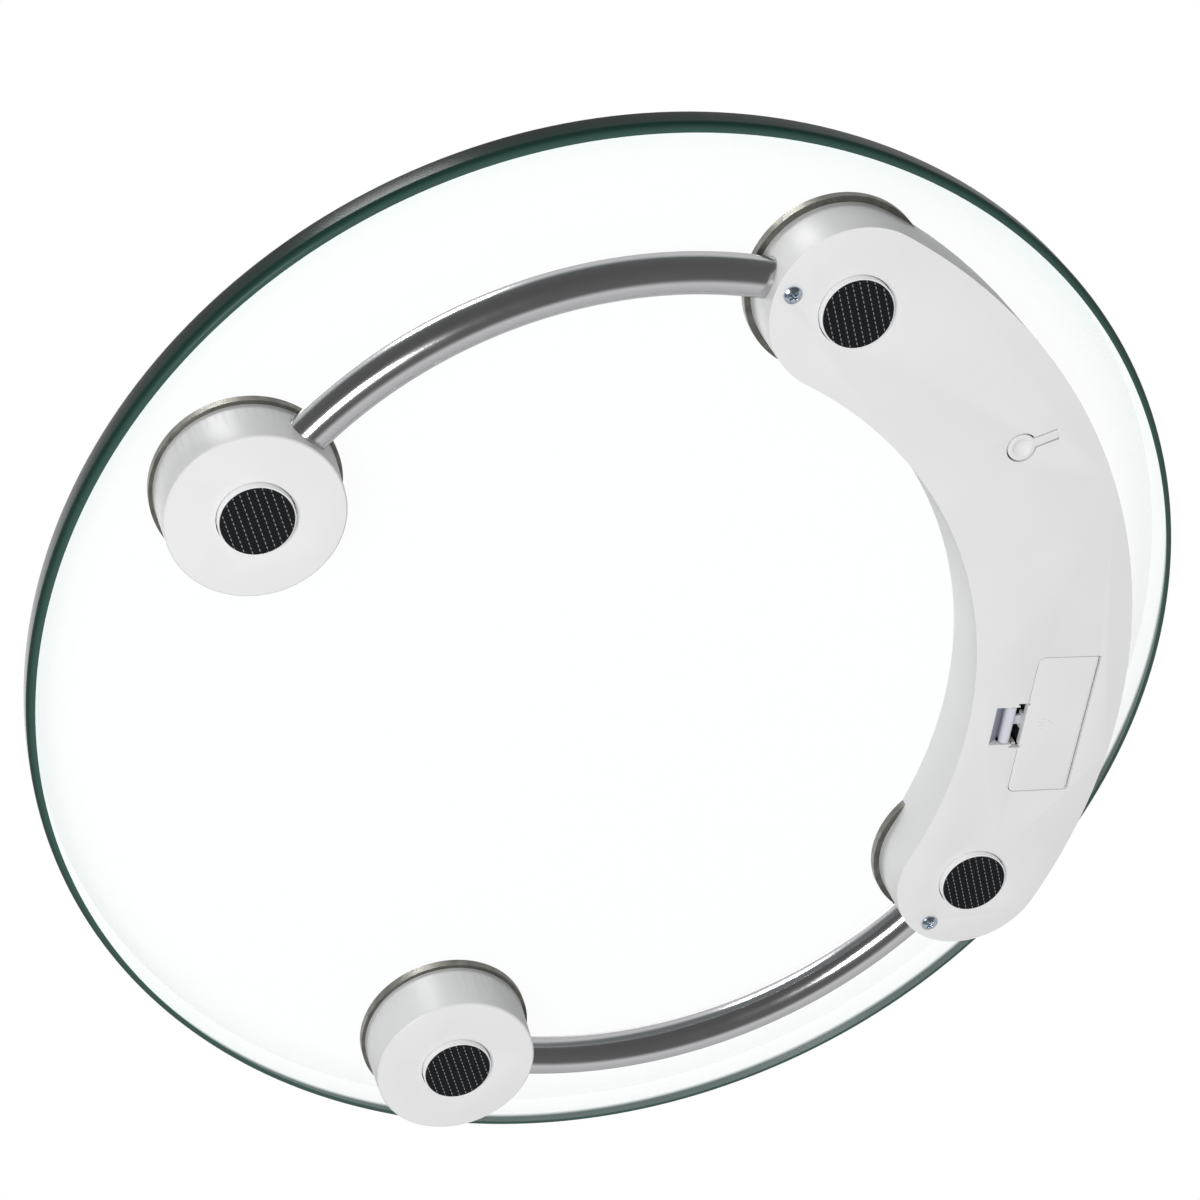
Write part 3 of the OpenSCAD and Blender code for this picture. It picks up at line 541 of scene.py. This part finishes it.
def bent_tube(side):
    """Round tube along a flat arc about the middle of the glass: a circle carried along the arc,
    outside and inside, closed by the two end rings."""
    node = "tube_" + side
    low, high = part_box(node)
    outer = (high.z - low.z) / 2
    wall = 0.8 * MM
    z = (low.z + high.z) / 2
    ring_r = max(abs(low.x), abs(high.x)) - outer
    half = math.asin((high.y - low.y) / 2 / (ring_r + outer))
    turn = 0 if side == "right" else math.pi
    along = turn + np.linspace(-half, half, 121)
    around = np.linspace(0, 2 * math.pi, 48, endpoint=False)
    shells = []
    for r in (outer, outer - wall):
        reach = ring_r + r * np.cos(around)[None, :]
        shells.append(np.stack([reach * np.cos(along)[:, None], reach * np.sin(along)[:, None],
                                z + r * np.sin(around)[None, :] + 0 * along[:, None]], -1).reshape(-1, 3))
    count = len(shells[0])
    body = grid_faces(len(along), len(around), wrap_columns=True)
    k = np.arange(len(around))
    k1 = (k + 1) % len(around)
    end = count - len(around)
    start_ring = np.stack([k, k + count, k1 + count, k1], 1)
    end_ring = np.stack([k + end, k1 + end, k1 + end + count, k + end + count], 1)
    faces = np.vstack([body, body[:, ::-1] + count, start_ring, end_ring])
    piece = make_piece("chromed_" + node, np.vstack(shells), faces.tolist(), [MATERIALS["chrome"]])
    outward(piece)
    sharpen(piece, 40)
    return take_over(piece, node, PLATFORM)


def outward(piece):
    work = bmesh.new()
    work.from_mesh(piece.data)
    bmesh.ops.recalc_face_normals(work, faces=work.faces)
    work.to_mesh(piece.data)
    work.free()


def span(node, way):
    """Least and greatest distance of a CAD node's points along a direction."""
    mesh = frame["nodes"][node].data
    points = np.empty(len(mesh.vertices) * 3)
    mesh.vertices.foreach_get("co", points)
    reach = points.reshape(-1, 3) @ np.array(way)
    return reach.min(), reach.max()


def pan_head_screws():
    """Two domed screws. Each head is a shallow cap, its depth falling with the square of the distance from
    the middle, less a cross whose arms slope down from their edges; a rim, a neck and the shank follow."""
    low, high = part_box("housing_screws")
    head_r = (high.y - low.y) / 2
    y = (high.y + low.y) / 2
    head_z = low.z
    rings = np.linspace(0, 1, 30)[:, None] * head_r
    angle = np.linspace(0, 2 * math.pi, 96, endpoint=False)[None, :]
    u, v = rings * np.cos(angle + 0.5), rings * np.sin(angle + 0.5)
    arm = lambda across, along: (np.clip((0.36 * MM - abs(across)) / (0.16 * MM), 0, 1)
                                 * np.clip((1.35 * MM - abs(along)) / (0.5 * MM), 0, 1))
    cross = np.maximum(arm(u, v), arm(v, u))
    cap = head_z + 0.75 * MM * (rings / head_r) ** 2.4 + 0.75 * MM * cross
    skirt = [(head_r, head_z + 1.3 * MM), (1.15 * MM, head_z + 1.3 * MM), (1.15 * MM, high.z - 0.6 * MM),
             (0.5 * MM, high.z), (0.0, high.z)]
    parts, faces, start = [], [], 0
    for x in (high.x - head_r, low.x + head_r):
        dome = np.stack([x + rings * np.cos(angle), y + rings * np.sin(angle), cap], -1).reshape(-1, 3)
        rest, _ = turned(skirt, 96, (x, y, 0))
        rest = rest.reshape(len(skirt), 96, 3)
        ring = np.stack([x + head_r * np.cos(angle[0]), y + head_r * np.sin(angle[0])], -1)
        shares = (np.array(skirt)[:, 0] / head_r)[:, None, None]
        rest[:, :, :2] = np.array([x, y]) + (ring - np.array([x, y]))[None] * shares
        points = np.vstack([dome, rest.reshape(-1, 3)])
        faces.append(grid_faces(30 + len(skirt), 96, wrap_columns=True) + start)
        parts.append(points)
        start += len(points)
    piece = make_piece("pan_head_screws", np.vstack(parts), np.vstack(faces).tolist(), [MATERIALS["screw"]])
    weld(piece)
    outward(piece)
    sharpen(piece, 50)
    return take_over(piece, "housing_screws", PLATFORM)


def wrapped_cell(node, plus):
    """Round dry cell: a profile of a flat base, rounded shoulders, a straight wrapped wall and a small cap,
    turned about the cell's own axis. plus is 1 where the cap is at the far end of the bay's direction."""
    way = ALONG * plus
    start, end = span(node, way)
    middle_point = middle(node)
    low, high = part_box(node)
    r = (high.z - low.z) / 2
    origin = middle_point - way * middle_point.dot(way)
    shoulder, nub_r, nub = 0.6 * MM, 1.9 * MM, 0.7 * MM
    body = end - nub
    profile = [(0, start + 0.25 * MM), (r * 0.62, start + 0.25 * MM), (r * 0.66, start),
               (r - shoulder, start)]
    profile += [(r - shoulder + shoulder * math.sin(a), start + shoulder - shoulder * math.cos(a))
                for a in np.radians((30, 60, 90))]
    profile += [(r, start + 12 * MM), (r, body - 9 * MM), (r, body - 9 * MM), (r, body - shoulder)]
    profile += [(r - shoulder + shoulder * math.cos(a), body - shoulder + shoulder * math.sin(a))
                for a in np.radians((30, 60, 90))]
    profile += [(nub_r + 0.5 * MM, body), (nub_r, body + 0.15 * MM), (nub_r, end - 0.2 * MM),
                (nub_r - 0.2 * MM, end), (0, end)]
    points, faces = turned(profile, 64, origin, way)
    ring = np.arange(len(faces)) // 64
    bands = np.select([ring < 3, ring < 9, ring < 14], [1, 0, 2], 1)
    piece = make_piece("wrapped_" + node, points, faces.tolist(),
                       [MATERIALS["jacket"], MATERIALS["contact"], MATERIALS["jacket_band"]], bands.tolist())
    weld(piece)
    outward(piece)
    sharpen(piece, 35)
    return take_over(piece, node, PLATFORM)


SEGMENTS = {"a": (0, 1, 1), "g": (0, 0, 1), "d": (0, -1, 1), "f": (-1, 0.5, 0), "b": (1, 0.5, 0),
            "e": (-1, -0.5, 0), "c": (1, -0.5, 0)}


def display_segments():
    """Four seven-segment digits and a point: each segment is a flat bar with pointed ends, leaning over
    by a tenth of its height."""
    low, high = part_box("display_panel")
    top = high.z
    centre = (low + high) / 2
    half_h, half_w, thick = 5.6 * MM, 2.9 * MM, 0.55 * MM
    points, faces = [], []

    def bar(outline):
        start = len(points)
        for z in (top, top + 0.06 * MM):
            for x, y in outline:
                points.append((centre.x + x + 0.1 * y, centre.y + y, z))
        n = len(outline)
        faces.append([start + k for k in range(n)][::-1])
        faces.append([start + n + k for k in range(n)])
        faces.extend([start + k, start + (k + 1) % n, start + n + (k + 1) % n, start + n + k]
                     for k in range(n))

    for place, letters in ((-15.6, "bc"), (-7.0, "abcdefg"), (1.8, "abcdefg"), (12.4, "abcdefg")):
        for letter in letters:
            sx, sy, flat = SEGMENTS[letter]
            x, y = place * MM + sx * half_w, sy * half_h
            long = (half_w if flat else half_h / 2) - 0.35 * MM
            shape = [(-long, 0), (-long + thick, -thick), (long - thick, -thick), (long, 0),
                     (long - thick, thick), (-long + thick, thick)]
            bar([(x + a, y + b) if flat else (x - b, y + a) for a, b in shape])
    dot = 0.7 * MM
    bar([(7.0 * MM + dot * math.cos(a), -half_h + dot * math.sin(a))
         for a in np.linspace(0, 2 * math.pi, 12, False)])
    piece = make_piece("display_segments", np.array(points), faces, [MATERIALS["ink"]], smooth=False)
    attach(piece, PLATFORM)
    return piece


def painted_shade_slab():
    """Painted shade in the finger well beside the latch: a thin grey-blue slab that slopes in a straight line from
    the face at its outer end to its deepest edge by the latch, coloured to stand for the shade in the well."""
    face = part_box("battery_door")[0].z
    latch = middle("door_latch")
    lip = span("door_latch", OUTWARD)[0] - latch.dot(OUTWARD)
    near, far = span("door_latch", ALONG)
    half = (far - near) / 2 + 0.2 * MM
    start, length = 3.45 * MM, 3.3 * MM         # before the lip, and along the slope
    first, drop, thick = 0.06 * MM, 2.9 * MM, 0.12 * MM
    t = np.linspace(0, 1, 9)[:, None]
    side = np.linspace(-1, 1, 13)[None, :]
    across = lip - start + t * length
    base = np.stack([latch.x + across * OUTWARD.x + side * half * ALONG.x,
                     latch.y + across * OUTWARD.y + side * half * ALONG.y,
                     face + first + t * drop + 0 * side], -1).reshape(-1, 3)
    back = base + np.array([0, 0, thick])
    rows, columns = len(t), side.shape[1]
    sheet = grid_faces(rows, columns)
    rim = np.concatenate([np.arange(columns), columns * np.arange(1, rows) + columns - 1,
                          (rows - 1) * columns + np.arange(columns - 2, -1, -1),
                          columns * np.arange(rows - 2, 0, -1)])
    after = np.roll(rim, -1)
    faces = np.vstack([sheet, sheet[:, ::-1] + len(base),
                       np.stack([rim, after, after + len(base), rim + len(base)], 1)])
    # The slab's grey-blue is painted shade of the finger well.
    piece = make_piece("painted_shade_slab", np.vstack([base, back]), faces.tolist(), [MATERIALS["well"]])
    outward(piece)
    sharpen(piece, 30)
    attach(piece, PLATFORM)
    return piece


def door_mark():
    """Thumb mark on the door beside its latch: four low ribs and a flat arrow head that points away from
    the latch, each a thin prism with sloping sides."""
    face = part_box("battery_door")[0].z
    latch = middle("door_latch")
    rise = 0.15 * MM
    start = latch + OUTWARD * (7.6 * MM)
    points, faces = [], []

    def prism(outline):
        first = len(points)
        n = len(outline)
        inner = np.array(outline).mean(0)
        for z, shrink in ((face + 0.02 * MM, 1.0), (face - rise, 0.86)):
            for corner in outline:
                a, b = inner + (np.array(corner) - inner) * shrink
                spot = start + OUTWARD * float(a) * MM + ALONG * float(b) * MM
                points.append((spot.x, spot.y, z))
        faces.append([first + n + k for k in range(n)])
        faces.append([first + k for k in range(n)][::-1])
        faces.extend([first + k, first + (k + 1) % n, first + n + (k + 1) % n, first + n + k]
                     for k in range(n))

    for k in range(4):
        y = (k - 1.5) * 1.15
        prism([(0, y - 0.2), (2.6, y - 0.2), (2.6, y + 0.2), (0, y + 0.2)])
    prism([(3.3, -2.0), (5.3, 0), (3.3, 2.0)])
    piece = make_piece("door_mark", np.array(points), faces, [MATERIALS["housing"]], smooth=False)
    outward(piece)
    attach(piece, "door")
    return piece


add_camera()
pan_head_screws()
wrapped_cell("battery_cell_inner", -1)
wrapped_cell("battery_cell_outer", 1)
display_segments()
door_mark()
painted_shade_slab()
glass_body()
for hand in ("right", "left"):
    bent_tube(hand)
for node in ("pod_right", "pod_left", "front_housing", "battery_door", "unit_button", "door_latch"):
    eased_copy(node, 0.25)
for place in FEET:
    eased_copy("foot_cup_" + place, 0.2, 2)

for name, node in frame["nodes"].items():
    node.data.materials.clear()
    node.data.materials.append(finish_of(name))


# ---- stage ----

def add_stage():
    """A pale floor under the feet. From below it is clear, as a glass table would be."""
    mesh = bpy.data.meshes.new("floor")
    reach, below = 3.0, -2e-5        # half its side, and how far it lies below the pads, in metres
    corners = ((-reach, -reach), (reach, -reach), (reach, reach), (-reach, reach))
    mesh.from_pydata([(x, y, below) for x, y in corners], [], [(0, 1, 2, 3)])
    floor = bpy.data.objects.new("floor", mesh)
    bpy.context.scene.collection.objects.link(floor)
    material, tree, shader = new_material("pale_floor", {"Roughness": 0.6, "Base Color": linear("#EDEDED")})
    side = add(tree, "ShaderNodeNewGeometry").outputs["Backfacing"]
    clear = add(tree, "ShaderNodeBsdfTransparent")
    mix = add(tree, "ShaderNodeMixShader", {}, {0: side, 1: shader.outputs[0], 2: clear.outputs[0]})
    tree.links.new(mix.outputs[0], tree.nodes["Material Output"].inputs["Surface"])
    mesh.materials.append(material)
    floor.visible_shadow = False
    floor.visible_diffuse = False
    floor.visible_glossy = False


def way_shade(tree, way, stops):
    """Grey level by the height of a direction, from -1 straight down to 1 straight up."""
    height = add(tree, "ShaderNodeMapRange", {"From Min": -1.0, "From Max": 1.0}, {"Value": way})
    return ramp(tree, height.outputs["Result"], stops).outputs["Color"]


def add_world():
    """White photo table: bright below and dim above for matt surfaces, and a dark card beside the table
    that gives polished metal its dark band."""
    world = bpy.data.worlds.new("studio")
    bpy.context.scene.world = world
    world.use_nodes = True
    tree = world.node_tree
    tree.nodes.clear()
    path = add(tree, "ShaderNodeLightPath")
    way = add(tree, "ShaderNodeSeparateXYZ", {}, {0: add(tree, "ShaderNodeTexCoord").outputs["Generated"]})
    seen = add(tree, "ShaderNodeBackground", {"Color": (1, 1, 1, 1), "Strength": 1.0})
    soft = add(tree, "ShaderNodeBackground", {"Strength": 1.02}, {
        "Color": way_shade(tree, way.outputs["Z"], [(0.0, "#D0D0D0"), (0.25, "#C0C0C0"), (0.5, "#626262"),
                                                    (0.6, "#4E4E4E"), (1.0, "#707070")])})
    card = add(tree, "ShaderNodeVectorMath", {"operation": "DOT_PRODUCT", 1: (0.80, 0.0, -0.60)},
               {0: add(tree, "ShaderNodeTexCoord").outputs["Generated"]})
    polish = add(tree, "ShaderNodeBackground", {"Strength": 1.0}, {
        "Color": way_shade(tree, card.outputs["Value"], [(0.0, "#C8C8C8"), (0.5, "#EDEDED"), (0.66, "#707070"),
                                                         (1.0, "#606060")])})
    matt = add(tree, "ShaderNodeMixShader", {}, {0: path.outputs["Is Glossy Ray"], 1: soft.outputs[0],
                                                 2: polish.outputs[0]})
    mix = add(tree, "ShaderNodeMixShader", {},
              {0: path.outputs["Is Camera Ray"], 1: matt.outputs[0], 2: seen.outputs[0]})
    add(tree, "ShaderNodeOutputWorld", {}, {0: mix.outputs[0]})


add_stage()
add_world()
add_area("light_key", (1.02, -0.16, 1.2), (0, 0, 0), 0.4, 9)
add_area("light_below", (0.75, -0.65, -1.35), (0, 0, 0), 0.5, 15)
add_area("light_above", (-0.5, -0.5, 1.6), (0, 0, 0), 1.4, 8)
bpy.context.scene.view_settings.view_transform = "Standard"
